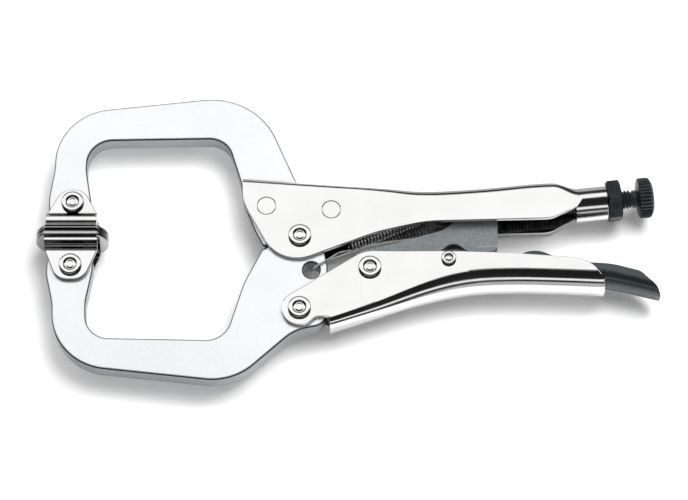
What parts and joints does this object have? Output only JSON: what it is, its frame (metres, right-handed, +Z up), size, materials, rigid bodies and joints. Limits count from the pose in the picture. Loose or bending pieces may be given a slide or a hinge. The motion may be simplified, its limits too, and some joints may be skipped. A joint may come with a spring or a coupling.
{
  "type": "locking pliers",
  "caption": "C-clamp locking pliers with deep rounded jaws, swivel clamping pads, toggle link, release lever and adjusting screw.",
  "frame": {"origin": "the middle of the bottom of the box round the whole tool, lying on its side and shut", "axes": "+X from the clamping pads to the adjusting knob, +Y from the movable jaw to the fixed jaw, +Z up through the jaw plates along the pivots"},
  "size_m": [0.2782, 0.1356, 0.026],
  "materials": {
    "bright_nickel": "bright nickel plate, polished",
    "satin_nickel": "satin, fine blasted, nickel plated",
    "grey_phosphate": "dark grey, grainy phosphate",
    "black_paint": "black, half matt",
    "black_oxide": "black oxide, oiled",
    "spring_steel": "dark oiled spring wire"
  },
  "bodies": {
    "frame": {"fixed_handle": "bright_nickel", "fixed_jaw": "satin_nickel", "front_jaw_rivet": "bright_nickel", "back_jaw_rivet": "bright_nickel", "main_pivot_rivet": "bright_nickel", "threaded_bush": "black_oxide", "upper_pad_rivet": "bright_nickel", "jaw_spring": "spring_steel"},
    "lower_jaw": {"movable_jaw": "satin_nickel", "lower_pad_rivet": "bright_nickel"},
    "lower_handle": {"movable_handle": "bright_nickel", "handle_pivot_rivet": "bright_nickel", "link_rivet": "bright_nickel", "lever_rivet": "bright_nickel"},
    "link": {"toggle_link": "grey_phosphate"},
    "lever": {"release_lever": "black_paint"},
    "upper_pad": {"upper_swivel_pad": "bright_nickel"},
    "lower_pad": {"lower_swivel_pad": "bright_nickel"},
    "screw": {"adjusting_screw": "black_oxide"},
    "knob": {"screw_knob": "black_oxide"},
    "nut": {"lock_nut": "black_oxide"}
  },
  "joints": [
    {"name": "jaw_open", "type": "hinge", "parent": "frame", "child": "lower_jaw", "pos_m": [-0.02102, -0.00053, 0.013], "axis": [0, 0, 1], "range_deg": [0, 14], "deforming": ["jaw_spring"]},
    {"name": "handle_fold", "type": "hinge", "parent": "lower_jaw", "child": "lower_handle", "pos_m": [-0.02102, -0.03493, 0.013], "axis": [0, 0, -1], "range_deg": [0, 46]},
    {"name": "link_swing", "type": "hinge", "parent": "lower_handle", "child": "link", "pos_m": [0.01018, -0.01573, 0.013], "axis": [0, 0, 1], "range_deg": [0, 53]},
    {"name": "upper_pad_swivel", "type": "hinge", "parent": "frame", "child": "upper_pad", "pos_m": [-0.12282, 0.01547, 0.013], "axis": [0, 0, 1], "range_deg": [0, 7]},
    {"name": "lower_pad_swivel", "type": "hinge", "parent": "lower_jaw", "child": "lower_pad", "pos_m": [-0.12282, -0.01453, 0.013], "axis": [0, 0, -1], "range_deg": [0, 7]},
    {"name": "release", "type": "hinge", "parent": "lower_handle", "child": "lever", "pos_m": [0.04508, -0.01243, 0.013], "axis": [0, 0, 1], "range_deg": [0, 6]},
    {"name": "screw_feed", "type": "slide", "parent": "frame", "child": "screw", "axis": [0.9942, 0.108, 0], "range_m": [0, 0.025]},
    {"name": "knob_turn", "type": "hinge", "parent": "screw", "child": "knob", "pos_m": [0.11668, 0.01887, 0.013], "axis": [0.9942, 0.108, 0], "range_deg": [0, 6001]},
    {"name": "nut_turn", "type": "hinge", "parent": "frame", "child": "nut", "pos_m": [0.11668, 0.01887, 0.013], "axis": [0.9942, 0.108, 0], "range_deg": [0, 360]}
  ],
  "couplings": [
    {"joint": "handle_fold", "follows": "jaw_open", "ratio": 3.24},
    {"joint": "link_swing", "follows": "jaw_open", "ratio": 3.75},
    {"joint": "upper_pad_swivel", "follows": "jaw_open", "ratio": 0.5},
    {"joint": "lower_pad_swivel", "follows": "jaw_open", "ratio": 0.5},
    {"joint": "knob_turn", "follows": "screw_feed", "rad_per_m": 4188.8}
  ]
}
